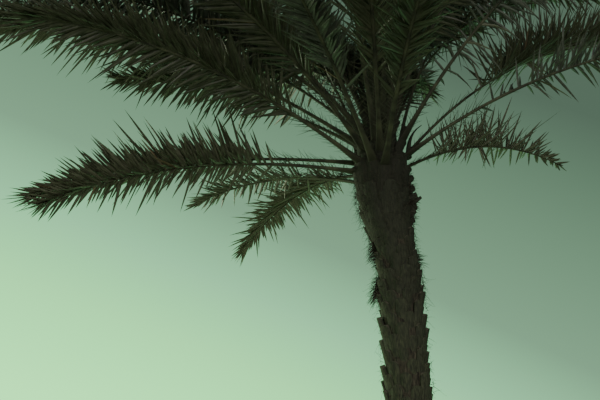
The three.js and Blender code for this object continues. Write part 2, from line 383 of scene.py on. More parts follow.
def bole_radius(height):
    """Radius of the bole under its coat."""
    sunk = smoothstep(height, *COAT_START) * (1 - smoothstep(height, *COAT_END))
    return trunk_radius(height) - BOOT_DEPTH * sunk


def rank_of(face):
    """A number by which faces are kept in one order, from the corners that they join."""
    numbers = [corner.index for corner in face.verts]
    return min(numbers) * len(bole_form.verts) + max(numbers)


bole_form = bmesh.new()
heights = np.arange(0, OUTLINE_HEIGHTS[-1], BOLE_STEP)
profile = [bole_form.verts.new((float(bole_radius(z)), 0, float(z))) for z in heights]
profile.append(bole_form.verts.new((0, 0, TRUNK_TIP)))
profile.insert(0, bole_form.verts.new((0, 0, 0)))
edges = [bole_form.edges.new(pair) for pair in zip(profile, profile[1:])]
bmesh.ops.spin(
    bole_form, geom=profile + edges, axis=(0, 0, 1), cent=(0, 0, 0), dvec=(0, 0, 0),
    angle=math.tau, steps=BOLE_SIDES, use_merge=True, use_duplicate=False,
)
bmesh.ops.remove_doubles(bole_form, verts=bole_form.verts, dist=1e-5)
bmesh.ops.recalc_face_normals(bole_form, faces=bole_form.faces)
bole_form.verts.index_update()
bole_form.faces.sort(key=rank_of)
for corner in bole_form.verts:
    out = Vector((corner.co.x, corner.co.y, 0))
    if out.length > ROUGH_OFF_AXIS and corner.co.z > ROUGH_OFF_FLOOR:
        rough = noise.fractal(corner.co * LUMPS_TO_THE_METRE, *LUMP_FRACTAL)
        corner.co += out.normalized() * BOLE_ROUGHNESS * rough
    corner.co.x += float(trunk_shift(corner.co.z))
bole_mesh = bpy.data.meshes.new("bole")
bole_form.to_mesh(bole_mesh)
placed("bole", bole_mesh, [FIBRE], **ON_TRUNK)

# %% [markdown]
# Each old leaf was cut off a hand's width above the trunk and left its base behind, a thick
# woody scale called a boot. A boot clasps the trunk below and juts out at its cut upper end, and
# the boots stand by turns in a diamond lattice. Old ones have weathered to grey-brown with long
# fibres and cracks. The cut end is paler and pitted with the ends of the leaf's bundles. Real
# fibres and bundles are a millimetre or two wide, too fine to show here, so they are drawn 5 to
# 6 mm wide.

# %% Materials of the leaf bases
GRAIN = 0.006
GRAIN_STRETCH = (1, 1, 0.08)
STAINS_TO_THE_METRE = 9
BUNDLE = 0.005
# Heights over which the skin darkens towards the head, as younger skin and painted crown shade.
UNSHADED_AGED_BELOW, SHADED_YOUNG_ABOVE = 2.5, 5.3
CROWN_SHADE_AND_YOUTH_DARKENING = 0.7
CUT_END_TONES = [(0.1, "#302f27"), (0.5, "#565544")]


def boot_skin_material(name, low, high, stain):
    """Leaf base skin of two near colours, stained, paler with age and with painted crown shade."""
    material, tree, place = started(name)
    stretched = add(tree, "ShaderNodeMapping", {"Vector": place, "Scale": GRAIN_STRETCH})
    grain = clouded(tree, stretched.outputs["Vector"], scale=0.5 / GRAIN, detail=4)
    patches = clouded(tree, place, scale=STAINS_TO_THE_METRE, detail=3)
    grained = toned(tree, grain, [(0.36, low), (0.66, high)])
    stained = mixed(tree, patches, grained, linear(stain))
    # Towards the head the skin darkens: partly younger leaf bases, partly painted shade under the
    # crown.
    height = add(tree, "ShaderNodeSeparateXYZ", {"Vector": place}).outputs["Z"]
    crown_shade_and_youth = mapped(tree, height, UNSHADED_AGED_BELOW, SHADED_YOUNG_ABOVE, CROWN_SHADE_AND_YOUTH_DARKENING)
    finish_with(tree, specular=0.25, base_color=mixed(tree, crown_shade_and_youth, stained, linear(low)),
                roughness=0.88, normal=relief(tree, grain, GRAIN))
    return material


def cut_end_material():
    """Paler cut end with the pits of the leaf's bundles."""
    material, tree, place = started("cut palm leaf base end")
    pits = add(tree, "ShaderNodeTexVoronoi", {"Vector": place, "Scale": 0.5 / BUNDLE})
    depth = pits.outputs["Distance"]
    finish_with(tree, specular=0.25, base_color=toned(tree, depth, CUT_END_TONES),
                roughness=0.92, normal=relief(tree, depth, BUNDLE))
    return material


BOOT_SKIN = boot_skin_material("weathered palm leaf base", "#20221a", "#555b40", "#303426")
LIVE_SKIN = boot_skin_material("living palm leaf base", "#1f2018", "#444531", "#292b20")
CUT_END = cut_end_material()
print(f"{BOOT_SKIN.name}, {LIVE_SKIN.name} and {CUT_END.name}")

# %% [markdown]
# One boot starts as a cube that is cut into strips, so that it can curve round the trunk and
# swell along its middle. Its upper face keeps the second material, the cut end. Every copy is
# then laid at its place in the lattice by the rule of the solid: rows half a pitch apart, with
# every other place filled. Chance makes each one a little longer or wider, and moves or turns it
# a little.

# %% The leaf bases
BOOTS_ROUND = 7
ROUND = 2 * BOOTS_ROUND
BOOT_PITCH = 0.24
BOOT_LIFT = 0.028
BOOT_LENGTH = 0.38
BOOT_LENGTHS = (0.9, 1.12)
BOOT_SKIRT = 0.04
BOOT_WIDTHS = (1.1, 0.6)
BOOT_WIDENINGS = (0.88, 1.1)
BOOT_JUT = 1.5 * BOOT_DEPTH
BOOT_THICKNESS = 0.045
BOOT_EDGE, BOOT_FOOT = 0.45, 0.6
EDGE_POWER, WIDTH_POWER, JUT_POWER, TILT_POWER = 2.5, 0.7, 0.9, 4
BOOT_SWELL = 0.024
BOOT_ARCH = 0.03
CUT_SLANT = 0.35
BOOT_REACH = (-0.024, 0.018)
BOOT_CHANCES = {"top": 0.008, "slope": 0.06, "skew": 0.05, "turn": 0.03}
BOOT_SEED = 11
CUTS_ACROSS = (-0.78, -0.4, 0, 0.4, 0.78)
CUTS_UP = (0.35, 0.6, 0.82, 0.95)
NEAR_ONE = 0.999


def boot_template():
    """A boot in unit sizes: x across from -1 to 1, y out from 0 to 1, z up from 0 to 1."""
    form = bmesh.new()
    bmesh.ops.create_cube(form, size=1)
    bmesh.ops.scale(form, vec=(2, 1, 1), verts=form.verts)
    bmesh.ops.translate(form, vec=(0, 0.5, 0.5), verts=form.verts)
    cuts = [((x, 0, 0), (1, 0, 0)) for x in CUTS_ACROSS]
    cuts += [((0, 0, z), (0, 0, 1)) for z in CUTS_UP]
    for point, way in cuts:
        parts = [*form.verts, *form.edges, *form.faces]
        bmesh.ops.bisect_plane(form, geom=parts, plane_co=point, plane_no=way, dist=1e-6)
    for face in form.faces:
        face.material_index = 1 if min(v.co.z for v in face.verts) > NEAR_ONE else 0
    return form


def boot_at(height, i, draw):
    """Corners of the boot at place number i of the row at a height."""
    x, y, z = unit_boot.T
    top = height + BOOT_LIFT + draw.normal(0, BOOT_CHANCES["top"])
    reach = float(trunk_radius(height)) + draw.uniform(*BOOT_REACH)
    half = math.tau * reach / ROUND * draw.uniform(*BOOT_WIDENINGS)
    half = half * lerp(BOOT_WIDTHS, z**WIDTH_POWER)
    length = min(BOOT_LENGTH * draw.uniform(*BOOT_LENGTHS), top - BOOT_SKIRT)
    slope = draw.normal(0, BOOT_CHANCES["slope"])
    skew = draw.normal(0, BOOT_CHANCES["skew"])
    across = x * half + skew * length * (z - 1)
    edge = 1 - np.abs(x) ** EDGE_POWER
    thick = BOOT_THICKNESS * lerp((BOOT_EDGE, 1), edge) * lerp((BOOT_FOOT, 1), z)
    sunk = BOOT_JUT * (1 - z) ** JUT_POWER
    out = reach - sunk + BOOT_SWELL * (edge - 1) * z + (y - 1) * thick
    turn = math.tau * i / ROUND + draw.normal(0, BOOT_CHANCES["turn"]) + across / reach
    tilt = slope * across - CUT_SLANT * (y - 1) * thick - BOOT_ARCH * (1 - edge)
    return round_trunk(turn, out, top - length * (1 - z) + tilt * z**TILT_POWER)


BOOT = boot_template()
unit_boot = corners_of(BOOT)
boot_rows = round(2 * (BOOTS_TO - BOOTS_FROM) / BOOT_PITCH)
draw = np.random.default_rng(BOOT_SEED)
boot_places = []
for row in range(boot_rows):
    height = lerp((BOOTS_FROM, BOOTS_TO), row / boot_rows)
    boot_places += [boot_at(height, i, draw) for i in range(row % 2, ROUND, 2)]
joined("leaf_bases", BOOT, np.array(boot_places), [BOOT_SKIN, CUT_END], **ON_TRUNK)
print(len(boot_places), "leaf bases")

# %% [markdown]
# The crown follows the growth of the palm. Fronds that the picture shows one by one are listed,
# as in the solids, and the rest stand a golden angle apart, each a little higher and steeper
# than the one before. Some of these are shed, and on the open side, at the right and behind,
# where the sky shows, they are held up. Each frond is a bending line: it leaves the head at its
# rise and azimuth, and turns down and aside faster and faster along its run.
#
# The last eight values of a frond belong to the looks alone: where its leaflets begin, where they
# stand at their closest, how long they are, how they droop, how far they are lifted and how far
# they lean forward in degrees, what share of their length the last ones have, and how densely
# they all stand. Of the grown fronds, those on the near side, which are seen from below, have
# leaflets that lean further forward and stand closer.

# %% The crown's rule
Frond = namedtuple(
    "Frond", "azimuth root rise bend sweep length leafy full leaflet droop lift lean last dense")
SET_FRONDS = [
    Frond(181, 5.91, 5, 33, 6.5, 3.6, 0.27, 0.4, 0.6, 0, 8, 0, 0.62, 1.5),
    Frond(190, 5.77, 2.5, 36.5, 3, 3.4, 0.28, 0.44, 0.48, 0, -6, 0, 0.7, 1.4),
    Frond(135, 5.76, 30, 29, 2, 3.3, 0.22, 0.5, 0.52, -0.05, 10, 24, 0.8, 0.7),
    Frond(118, 5.88, 29.5, 51, 5, 3.45, 0.2, 0.32, 0.6, 0.06, 6, 16, 0.6, 1.5),
    Frond(176, 6.12, 35.5, 35, 5, 3.22, 0.3, 0.46, 0.56, 0.06, 0, 4, 0.5, 1.5),
    Frond(198, 6.09, 28.5, 53, 0, 4.95, 0.22, 0.32, 0.74, 0.04, 0, 2, 0.62, 1.8),
    Frond(206, 6.30, 32, 57, -2, 4.3, 0.22, 0.32, 0.66, 0.1, 0, -4, 0.8, 1.5),
    Frond(213, 6.17, 40, 44, 0, 4.3, 0.22, 0.32, 0.62, 0.1, 0, 0, 0.8, 1.5),
    Frond(167, 6.27, 52, 44, 1, 4.0, 0.24, 0.36, 0.6, 0.1, 0, 0, 0.6, 1.3),
    Frond(197, 6.42, 68, 37, 0, 4.0, 0.24, 0.36, 0.7, 0.1, 0, 8, 0.6, 1.8),
    Frond(326, 6.03, 53.5, 40, 0, 3.95, 0.2, 0.8, 0.5, 0.7, 0, 0, 0.8, 0.8),
    Frond(316, 6.29, 64, 60, 5, 3.8, 0.22, 0.4, 0.5, 0.15, 0, 0, 0.7, 1),
    Frond(4, 5.95, 52, 41, 7, 3.95, 0.4, 0.58, 0.8, 0.06, 28, -6, 0.9, 1.8),
    Frond(341, 5.92, 31.5, 48, 2, 3.95, 0.26, 0.72, 0.56, 0.12, 20, 0, 0.7, 0.9),
    Frond(8, 6.3, 71, 68, 0, 4.4, 0.22, 0.6, 0.56, 0.15, 0, 0, 0.8, 1.2),
    Frond(30, 5.88, 38, 41.5, 3, 3.26, 0.2, 0.34, 0.72, -0.05, 36, 10, 0.3, 0.72),
]
GROWN_FRONDS = 72
GOLDEN_ANGLE = 137.508
FOOT_ROOM = 0.132
SHED_FRONDS = [0, 3, 5, 6, 10, 18, 30, 42, 45]
ROOTS = (5.66, 6.54)
RISES = (8, 82)
RISE_POWER = 0.9
BENDS = (36, 54)
LENGTHS = (3.85, 4.2)
OPEN_SIDE = 75
OPENING = (-0.3, 0.3)
HELD_UP = 72
HELD_BEND = 8
UNLIKE = {
    # by how much either way, and the stride from one frond's share of it to the next one's
    "azimuth": (6, 0.5698),
    "rise": (4, 0.7549),
    "bend": (8, 0.618),
    "sweep": (8, 0.8192),
    "length": (0.25, 0.6711),
    "twist": (34, 0.4142),
}
GROWN_LOOKS = (0.26, 0.42, 0.56, 0.1, 0)
GROWN_LEANS = (8, 34)
GROWN_LAST = 0.7
GROWN_DENSITIES = (1.1, 1.5)
SPEAR = Frond(120, 6.6, 87, 5, 0, 2.1, 0, 0, 0, 0, 0, 0, 0, 0)


def unlike(kind, index):
    """How far number index of its kind differs from the rule, either way."""
    by, stride = UNLIKE[kind]
    return by * (2 * ((index * stride) % 1) - 1)


def grown_frond(i):
    """Frond number i of the grown ones, from the lowest up."""
    age = (i + 0.5) / GROWN_FRONDS
    swell = math.sin(math.pi * age)
    azimuth = (i * GOLDEN_ANGLE + unlike("azimuth", i)) % 360
    held = float(smoothstep(math.cos(math.radians(azimuth - OPEN_SIDE)), *OPENING))
    near = max(0, -math.sin(math.radians(azimuth)))
    return Frond(
        azimuth,
        lerp(ROOTS, age),
        lerp((RISES[0] + HELD_UP * held, RISES[1]), age**RISE_POWER) + unlike("rise", i),
        lerp(BENDS, swell) + HELD_BEND * held + unlike("bend", i),
        unlike("sweep", i),
        lerp(LENGTHS, swell) + unlike("length", i),
        *GROWN_LOOKS,
        lerp(GROWN_LEANS, near),
        GROWN_LAST,
        lerp(GROWN_DENSITIES, near),
    )


def foot_of(frond, sunk=0):
    """Where a frond's stalk leaves the head of the trunk, or the place so far under it."""
    reach = float(trunk_radius(frond.root)) - sunk
    return round_trunk(math.radians(frond.azimuth), reach, frond.root)


def crown():
    """The set fronds, and the grown ones whose feet keep clear of theirs."""
    grown = [grown_frond(i) for i in range(GROWN_FRONDS) if i not in SHED_FRONDS]
    free = [
        frond for frond in grown
        if all(np.linalg.norm(foot_of(frond) - foot_of(other)) > FOOT_ROOM for other in SET_FRONDS)
    ]
    return SET_FRONDS + free


FRONDS = crown()
print(len(FRONDS), "fronds, and", len(FROND_NODES), "frond solids")

# %% [markdown]
# Below every foot the stalk widens into a living base that clasps the head of the trunk. It is a
# boot like the old ones, only longer, still olive, and curving out into the stalk at its top. The
# steeper a frond stands, the further its base reaches up along the stalk. Where a leaf has been
# shed or cut away, its base still stands among the others.

# %% The living leaf bases
SHEATH_LENGTH = 0.4
SHEATH_LENGTHS = (0.7, 1.15)
SHEATH_TOPS = (0.02, 0.6)
SHEATH_WIDTHS = (1.1, 0.5)
SHEATH_THICKNESS = 0.05
SHEATH_EDGE = 0.4
SHEATH_SWELL = 0.02
SWELL_LEVEL, SKIN_LEVEL = 0.8, 0.85
SHEATH_FLARE = 0.02
SHEATH_FLARES = (0.7, 1.1)
SHEATH_SUNK = 0.05
SHEATH_ROOM = 0.08
SHEATH_SWAY = 0.01
TOP_POWER, CURVE_POWER, TAPER_POWER, FLARE_POWER = 5, 1.3, 0.8, 5
SHED_RISE = 20
SHEATH_SEED = 31


def sheath_of(frond, draw):
    """Corners of the living base under a frond's foot."""
    x, y, z = unit_boot.T
    here = float(trunk_radius(frond.root))
    rise = math.radians(frond.rise)
    length = SHEATH_LENGTH * draw.uniform(*SHEATH_LENGTHS)
    flare = SHEATH_FLARE * math.cos(rise) * draw.uniform(*SHEATH_FLARES)
    top = lerp(SHEATH_TOPS, (frond.rise / 90) ** TOP_POWER)
    level = frond.root + top - (length + top) * (1 - z)
    edge = 1 - np.abs(x) ** EDGE_POWER
    thick = SHEATH_THICKNESS * lerp((SHEATH_EDGE, 1), edge)
    splay = np.maximum(level - frond.root, 0) * min(1, 1 / math.tan(rise))
    held = np.where(level < frond.root, np.minimum(trunk_radius(level), here + SHEATH_ROOM), here)
    reach = held + splay - SHEATH_SUNK * (1 - z) ** CURVE_POWER
    skin = SHEATH_SWELL * (edge - SWELL_LEVEL) + (y - SKIN_LEVEL) * thick
    out = reach + flare * z**FLARE_POWER + skin
    half = lerp(SHEATH_WIDTHS, z**TAPER_POWER) * here / 2
    sway = draw.normal(0, SHEATH_SWAY) * (1 - z)
    return round_trunk(math.radians(frond.azimuth) + (x * half + sway) / here, out, level)


draw = np.random.default_rng(SHEATH_SEED)
shed = [grown_frond(i)._replace(rise=SHED_RISE) for i in SHED_FRONDS]
sheaths = np.array([sheath_of(frond, draw) for frond in FRONDS + shed])
joined("living_leaf_bases", BOOT, sheaths, [LIVE_SKIN, LIVE_SKIN], **ON_TRUNK)

# %% [markdown]
# The edges of old leaf bases fray into loose threads of the sheath fibre, most of them round the
# head, where they make its outline rough. Each thread is a thin rod that leaves the trunk at a
# slant and bends down. The same template, thicker and pointed down, gives the short hard roots
# that break out of the flare at the foot.

# %% Loose fibre threads and foot roots
THREADS = 5200
THREAD_BANDS = [
    # lowest, highest, and share of all the threads
    (0.4, 4.2, 0.34),
    (4.2, 5.2, 0.28),
    (5.2, 5.95, 0.38),
]
THREAD_LENGTHS = (0.02, 0.11)
THREAD_RADIUS = 0.002
THREAD_RADII = (0.6, 1.3)
THREAD_SUNK = 0.01
THREAD_OUT = (0.15, 0.9)
THREAD_SLANT = 0.7
THREAD_FALL = -0.2
THREAD_CURL = 0.22
THREAD_WEIGHT = 0.35
THREAD_SEED = 41
FOOT_ROOTS = 320
ROOT_BAND = (0.03, 0.3)
ROOT_LENGTHS = (0.05, 0.16)
ROOT_RADIUS = 0.007
ROOT_RADII = (0.6, 1.2)
ROOT_SUNK = 0.015
ROOT_OUT, ROOT_DOWN, ROOT_SLANT = 0.75, 0.8, 0.25
ROOT_WEIGHT = 0.4
RING_POWER = 1.4
UP = np.array([0, 0, 1])
NO_ROD_WAY = np.array([0.31, 0.17, 0.94])


def cone_template(sides, tip, cuts=()):
    """A closed cone along z from 0 to 1, of radius one at its foot, with cuts across it."""
    form = bmesh.new()
    bmesh.ops.create_cone(form, cap_ends=True, segments=sides, radius1=1, radius2=tip, depth=1)
    bmesh.ops.translate(form, vec=(0, 0, 0.5), verts=form.verts)
    for share in cuts:
        parts = [*form.verts, *form.edges, *form.faces]
        bmesh.ops.bisect_plane(
            form, geom=parts, plane_co=(0, 0, share), plane_no=(0, 0, 1), dist=1e-7)
    return form


def rod_template(sides, rings):
    """A closed rod of radius one, cut into rings that are shorter near its foot."""
    return cone_template(sides, 1, [(k / rings) ** RING_POWER for k in range(1, rings)])


def bent_rods(template, base, way, pull, length, radius, narrowing=0.8):
    """Corners of rods that leave their bases one way and are pulled aside along their run."""
    x, y, z = corners_of(template).T
    flat = unit(np.cross(way, NO_ROD_WAY))
    deep = np.cross(flat, way)
    taper = radius[:, None] * (1 - narrowing * z)
    pull = np.broadcast_to(pull, way.shape)
    run = way[:, None] * z[:, None] + pull[:, None] * (z**2)[:, None]
    return (base[:, None] + length[:, None, None] * run
            + (taper * x)[..., None] * flat[:, None] + (taper * y)[..., None] * deep[:, None])


def on_trunk(turn, level, sunk):
    """Places so far under the trunk's surface, and the ways out and round from there."""
    out = np.stack([np.cos(turn), np.sin(turn), np.zeros_like(turn)], axis=-1)
    side = np.stack([-np.sin(turn), np.cos(turn), np.zeros_like(turn)], axis=-1)
    return round_trunk(turn, trunk_radius(level) - sunk, level), out, side


THREAD_FORM = rod_template(3, 4)
draw = np.random.default_rng(THREAD_SEED)
level = np.concatenate([
    draw.uniform(low, high, round(THREADS * share)) for low, high, share in THREAD_BANDS])
count = len(level)
place, out, side = on_trunk(draw.uniform(0, math.tau, count), level, THREAD_SUNK)
slant = draw.normal(0, THREAD_SLANT, (count, 1))
rise = draw.normal(THREAD_FALL, THREAD_SLANT, (count, 1))
way = unit(out * draw.uniform(*THREAD_OUT, (count, 1)) + side * slant + UP * rise)
pull = draw.normal(0, THREAD_CURL, (count, 3)) - THREAD_WEIGHT * UP
length = lerp(THREAD_LENGTHS, draw.random(count) ** 2)
radius = THREAD_RADIUS * draw.uniform(*THREAD_RADII, count)
threads = bent_rods(THREAD_FORM, place, way, pull, length, radius)
joined("sheath_fibre_threads", THREAD_FORM, threads, [FIBRE], **ON_TRUNK)

level = draw.uniform(*ROOT_BAND, FOOT_ROOTS)
place, out, side = on_trunk(draw.uniform(0, math.tau, FOOT_ROOTS), level, ROOT_SUNK)
slant = draw.normal(0, ROOT_SLANT, (FOOT_ROOTS, 1))
way = unit(out * ROOT_OUT + side * slant - UP * ROOT_DOWN)
length = lerp(ROOT_LENGTHS, draw.random(FOOT_ROOTS))
radius = ROOT_RADIUS * draw.uniform(*ROOT_RADII, FOOT_ROOTS)
roots = bent_rods(THREAD_FORM, place, way, -ROOT_WEIGHT * UP, length, radius)
roots[..., 2] = np.maximum(roots[..., 2], 0)
joined("foot_roots", THREAD_FORM, roots, [BOOT_SKIN], **ON_TRUNK)

# %% [markdown]
# A few marks of this one palm stand out against the sky in the picture: tufts of torn fibre on
# both edges of the trunk, and a ragged edge of short stubs under the head on the right. A tuft is
# a sheaf of threads from one spot, and a stub is a single thick rod, so both are made from the
# rod template.

# %% Torn tufts and stubs
TUFTS = [
    # height, azimuth, threads, longest thread, and its rise per run
    (4.87, 171, 70, 0.15, -0.5),
    (4.72, 172, 50, 0.14, 0.15),
    (4.42, 170, 120, 0.2, -0.75),
    (4.5, 168, 60, 0.15, -0.2),
    (4.7, -9, 40, 0.14, 0.25),
    (5.2, -8, 60, 0.14, 0.6),
    (5.36, -7, 70, 0.15, 0.1),
    (5.52, -8, 70, 0.16, 0.4),
    (5.66, -7, 60, 0.15, 0.8),
]
STUBS = [
    # height, azimuth, length, rise per run and radius
    (5.5, -8, 0.12, 0.5, 0.05),
    (5.4, -12, 0.13, 0.3, 0.055),
    (5.3, -6, 0.12, 0.2, 0.055),
    (5.21, -12, 0.11, 0.5, 0.05),
    (5.12, -8, 0.09, 0.5, 0.04),
    (5.31, -9, 0.2, 0.6, 0.026),
]
TUFT_SEED = 47
TUFT_HEIGHT, TUFT_SPREAD = 0.035, 7
TUFT_LENGTHS = (0.35, 1)
TUFT_RADII = (1.2, 2.6)
TUFT_STEEPNESS, TUFT_SLANT = 0.3, 0.35
TUFT_WEIGHT = 0.3
TUFT_SUNK, STUB_SUNK = 0.05, 0.07
STUB_CURVE = 0.1
STUB_NARROWING = 0.35

draw = np.random.default_rng(TUFT_SEED)
level, turn, long, steep = [], [], [], []
for height, azimuth, count, longest, rise in TUFTS:
    level.append(draw.normal(height, TUFT_HEIGHT, count))
    turn.append(np.radians(draw.normal(azimuth, TUFT_SPREAD, count)))
    long.append(longest * draw.uniform(*TUFT_LENGTHS, count))
    steep.append(draw.normal(rise, TUFT_STEEPNESS, count))
level, turn, long, steep = map(np.concatenate, (level, turn, long, steep))
place, out, side = on_trunk(turn, level, TUFT_SUNK)
slant = draw.normal(0, TUFT_SLANT, (len(level), 1))
way = unit(out + side * slant + steep[:, None] * UP)
radius = THREAD_RADIUS * draw.uniform(*TUFT_RADII, len(level))
tufts = bent_rods(THREAD_FORM, place, way, -TUFT_WEIGHT * UP, long, radius)
joined("torn_fibre_tufts", THREAD_FORM, tufts, [FIBRE], **ON_TRUNK)

ROD_FORM = rod_template(8, 8)
level, turn, long, steep, radius = np.array(STUBS).T
place, out, _ = on_trunk(np.radians(turn), level, STUB_SUNK)
way = unit(out + steep[:, None] * UP)
stubs = bent_rods(ROD_FORM, place, way, STUB_CURVE * UP, long, radius, STUB_NARROWING)
joined("stalk_stubs", ROD_FORM, stubs, [BOOT_SKIN], **ON_TRUNK)

# %% [markdown]
# One dried bract at the right of the head curls over like a hook. A curve with a round profile
# could draw it, but the bent rod is at hand and thins out by itself. It leaves its base along its
# way, which is upright, and its pull bends it out and back down. Both are in metres.

# %% The hooked bract
HOOK_BASE = (0.24, 0, 5.98)
HOOK_WAY = (-0.02, 0, 0.643)
HOOK_PULL = (0.2, 0, -0.183)
HOOK_RADIUS = 0.045

base, way, pull = np.array([[HOOK_BASE], [HOOK_WAY], [HOOK_PULL]])
hook = bent_rods(ROD_FORM, base, way, pull, np.ones(1), np.array([HOOK_RADIUS]))
joined("hooked_bract", ROD_FORM, hook, [BOOT_SKIN], **ON_TRUNK)

# %% [markdown]
# The line of a frond is found by walking along it in short steps. A curve object could hold the
# line too, but here each place also knows its way forward, its side and its upper side, which
# turn slowly with the frond's twist. Everything on a frond is then set out from these: the
# stalk's rings, the spines and the leaflets.

# %% The line of a frond
FOOT_SINK = 0.04
BEND_POWER = 1.3
STEPS = 120


def headings(frond, shares):
    """The way forward at shares of a frond's length."""
    bent = shares**BEND_POWER
    rise = np.radians(frond.rise - frond.bend * bent)
    turn = np.radians(frond.azimuth + frond.sweep * bent)
    flat = np.cos(rise)
    return np.stack([flat * np.cos(turn), flat * np.sin(turn), np.sin(rise)], axis=-1)


def line_of(frond, index, shares):
    """Places, ways forward, sides and upper sides at shares of a frond's length."""
    marks = np.linspace(0, 1, STEPS + 1)
    middles = (marks[1:] + marks[:-1]) / 2
    walk = np.cumsum(headings(frond, middles) * frond.length / STEPS, axis=0)
    walked = foot_of(frond, FOOT_SINK) + np.vstack([np.zeros(3), walk])
    place = np.stack([np.interp(shares, marks, walked[:, k]) for k in range(3)], axis=-1)
    forward = headings(frond, shares)
    turn = np.radians(frond.azimuth + frond.sweep * shares**BEND_POWER)
    level = np.stack([-np.sin(turn), np.cos(turn), np.zeros_like(turn)], axis=-1)
    twist = np.radians(unlike("twist", index)) * shares
    lifted = np.cross(forward, level)
    side = level * np.cos(twist)[:, None] + lifted * np.sin(twist)[:, None]
    return place, forward, side, np.cross(forward, side)


tips = np.array([line_of(frond, i, np.array([1.0]))[0][0] for i, frond in enumerate(FRONDS)])
print("frond tips reach from", tips.min(0).round(2), "to", tips.max(0).round(2))

# %% [markdown]
# A frond's stalk is smooth and waxy. Near the trunk it is broad, hollowed above and rounded
# below, and painted dark there as shade among the leaf bases. Further out it narrows and the
# painted shade clears to the olive of the blade's midrib. Its bloom of wax keeps it nearly matt,
# and its colour drifts along it in patches.

# %% Material of the stalks
# Painted shade: the stalk's colour near the trunk, darkened as the shade among the leaf bases.
STALK_FOOT_SHADE_PAINT = "#25261c"
PAINTED_SHADE_TO, PAINTED_SHADE_CLEARS_FROM = 0.25, 0.65
STALK_TONES = [(0.35, "#292b22"), (0.7, "#474a37")]
STREAKS_TO_THE_METRE = 6
STREAK_RELIEF = 0.003


def stalk_material():
    """Waxy olive stalk with paler streaks, and painted shade near the axis of the trunk."""
    material, tree, place = started("waxy palm stalk")
    streaks = clouded(tree, place, scale=STREAKS_TO_THE_METRE, detail=5)
    flat = add(tree, "ShaderNodeVectorMath", {0: place, 1: (1, 1, 0)}, operation="MULTIPLY")
    reach = add(tree, "ShaderNodeVectorMath", {0: flat.outputs["Vector"]}, operation="LENGTH")
    # The stalk darkens towards the trunk's axis as painted shade among the leaf bases.
    out = mapped(tree, reach.outputs["Value"], PAINTED_SHADE_TO, PAINTED_SHADE_CLEARS_FROM)
    coloured = mixed(tree, out, linear(STALK_FOOT_SHADE_PAINT), toned(tree, streaks, STALK_TONES))
    finish_with(tree, specular=0.12, base_color=coloured, roughness=0.75,
                normal=relief(tree, streaks, STREAK_RELIEF))
    return material


STALK = stalk_material()
print(f"{STALK.name}: darkest up to {PAINTED_SHADE_TO} m from the trunk's axis")

# %% [markdown]
# Every stalk is the same template, a ten-sided rod cut into rings, that is laid along its
# frond's line. The foot clasps the head of the trunk, so it is far wider than thick, most of all
# under a steep frond. A quarter of the way out the stalk has narrowed to its even width, and from
# there it thins out to the tip.

# %% The stalks
BLADE_START = 0.25
STALK_SIDES = 10
STALK_RINGS = 36
FOOT_WIDTHS = (0.42, 0.95)
FOOT_TAPERS = (3.4, 1.6)
UPRIGHT_POWER = 2
FOOT_THICKNESS = 0.05
BLADE_WIDTH, BLADE_THICKNESS = 0.046, 0.036
TIP_WIDTH, TIP_THICKNESS = 0.012, 0.009
HOLLOW = 0.55
CLASP_POWER = 6


def stalk_sizes(frond, shares):
    """Half widths and half thicknesses at shares of a frond's length."""
    upright = (frond.rise / 90) ** UPRIGHT_POWER
    run = 1 - (1 - np.clip(shares / BLADE_START, 0, 1)) ** lerp(FOOT_TAPERS, upright)
    foot = lerp(FOOT_WIDTHS, upright) * float(trunk_radius(frond.root))
    width = foot + (BLADE_WIDTH - foot) * run
    thickness = FOOT_THICKNESS + (BLADE_THICKNESS - FOOT_THICKNESS) * run
    out = np.clip((shares - BLADE_START) / (1 - BLADE_START), 0, 1)
    width = width + (TIP_WIDTH - BLADE_WIDTH) * out
    thickness = thickness + (TIP_THICKNESS - BLADE_THICKNESS) * out
    return width / 2, thickness / 2


def stalk_of(frond, index):
    """Corners of a frond's stalk, with its foot curved round the trunk."""
    x, y, share = unit_rod.T
    place, _, side, upper = line_of(frond, index, share)
    half_width, half_thickness = stalk_sizes(frond, share)
    hollow = np.where(y > 0, 1 - HOLLOW * (1 - np.abs(x)), 1)
    clasp = (x * half_width) ** 2 / (2 * trunk_radius(frond.root)) * (1 - share) ** CLASP_POWER
    across = (x * half_width)[:, None] * side
    return place + across + (y * hollow * half_thickness - clasp)[:, None] * upper


ROD = rod_template(STALK_SIDES, STALK_RINGS)
unit_rod = corners_of(ROD)
stalks = np.array([stalk_of(frond, index) for index, frond in enumerate(FRONDS)])
joined("frond_stalks", ROD, stalks, [STALK], smooth=True, nodes=FROND_NODES)

# %% [markdown]
# On the stalk below the blade the leaflets have turned into spines, hard and sharp, that stand
# by turns to both sides and grow longer towards the blade. There are over two thousand of them,
# and no more than their outline shows, so each is a slim four-sided cone.

# %% The spines
SPINES_A_SIDE = 24
SPINE_TIP = 0.1
SPINE_RUN = (0.12, 1)
SPINE_CHANCE = 0.012
SPINE_LIMITS = (0.02, 0.95)
SPINE_SWEEPS, SPINE_RAISES = (38, 66), (-18, 42)
SPINE_SEAT = 0.8
SPINE_LENGTHS = (0.05, 0.26)
SPINE_VARIETY = (0.7, 1.15)
SPINE_RADIUS = 0.004
SPINE_RADII = (0.7, 1.2)
SPINE_SEED = 23


def ways_out(forward, side, upper, hand, sweep, raised):
    """Ways that lean forward by the sweep, out to a hand and up by an angle, in degrees."""
    sweep, raised = np.radians(sweep), np.radians(raised)
    ahead = np.cos(sweep)[:, None] * forward
    out = (hand * np.sin(sweep) * np.cos(raised))[:, None] * side
    up = (np.sin(sweep) * np.sin(raised))[:, None] * upper
    return ahead + out + up


